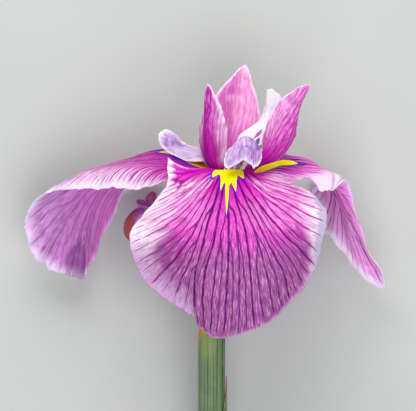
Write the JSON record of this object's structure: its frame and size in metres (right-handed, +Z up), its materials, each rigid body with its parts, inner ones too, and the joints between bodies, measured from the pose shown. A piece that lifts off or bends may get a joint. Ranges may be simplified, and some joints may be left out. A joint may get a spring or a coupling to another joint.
{
  "type": "iris flower",
  "caption": "Japanese iris flower with broad veined falls, upright standards, petal-like style arms, bracts and a cut stem, lying on its back",
  "frame": {"origin": "on the surface below the middle of the bounding box", "axes": "+Z up from the surface, +Y from the cut end of the stem to the flower, +X across the flower"},
  "size_m": [0.1464, 0.218, 0.092],
  "materials": {
    "fall": "soft satin petal, magenta pink with violet veins, a yellow signal and a pale margin",
    "standard": "soft satin petal, magenta to pale pink with white margins",
    "style": "soft petal, white to pale lavender with violet streaks",
    "anther": "matte tan anther on a pale filament",
    "tube": "smooth yellow-green plant skin",
    "withered": "wilted petals, plum purple with rosy brown edges",
    "bract": "waxy grey-green leaf with fine ribs and a dry brown tip",
    "stem": "smooth grey-green stem with fine ribs"
  },
  "bodies": {
    "root": {"fall_front": "fall", "fall_left": "fall", "fall_right": "fall", "standard_left": "standard", "standard_right": "standard", "standard_back": "standard", "style_left": "style", "style_front": "style", "style_right": "style", "style_column": "style", "stamen_front": "anther", "stamen_left": "anther", "stamen_right": "anther", "tube_and_ovary": "tube", "spent_bloom": "withered", "spent_pedicel": "tube", "bract_left": "bract", "bract_right": "bract", "bract_outer": "bract", "stem": "stem"}
  },
  "joints": []
}
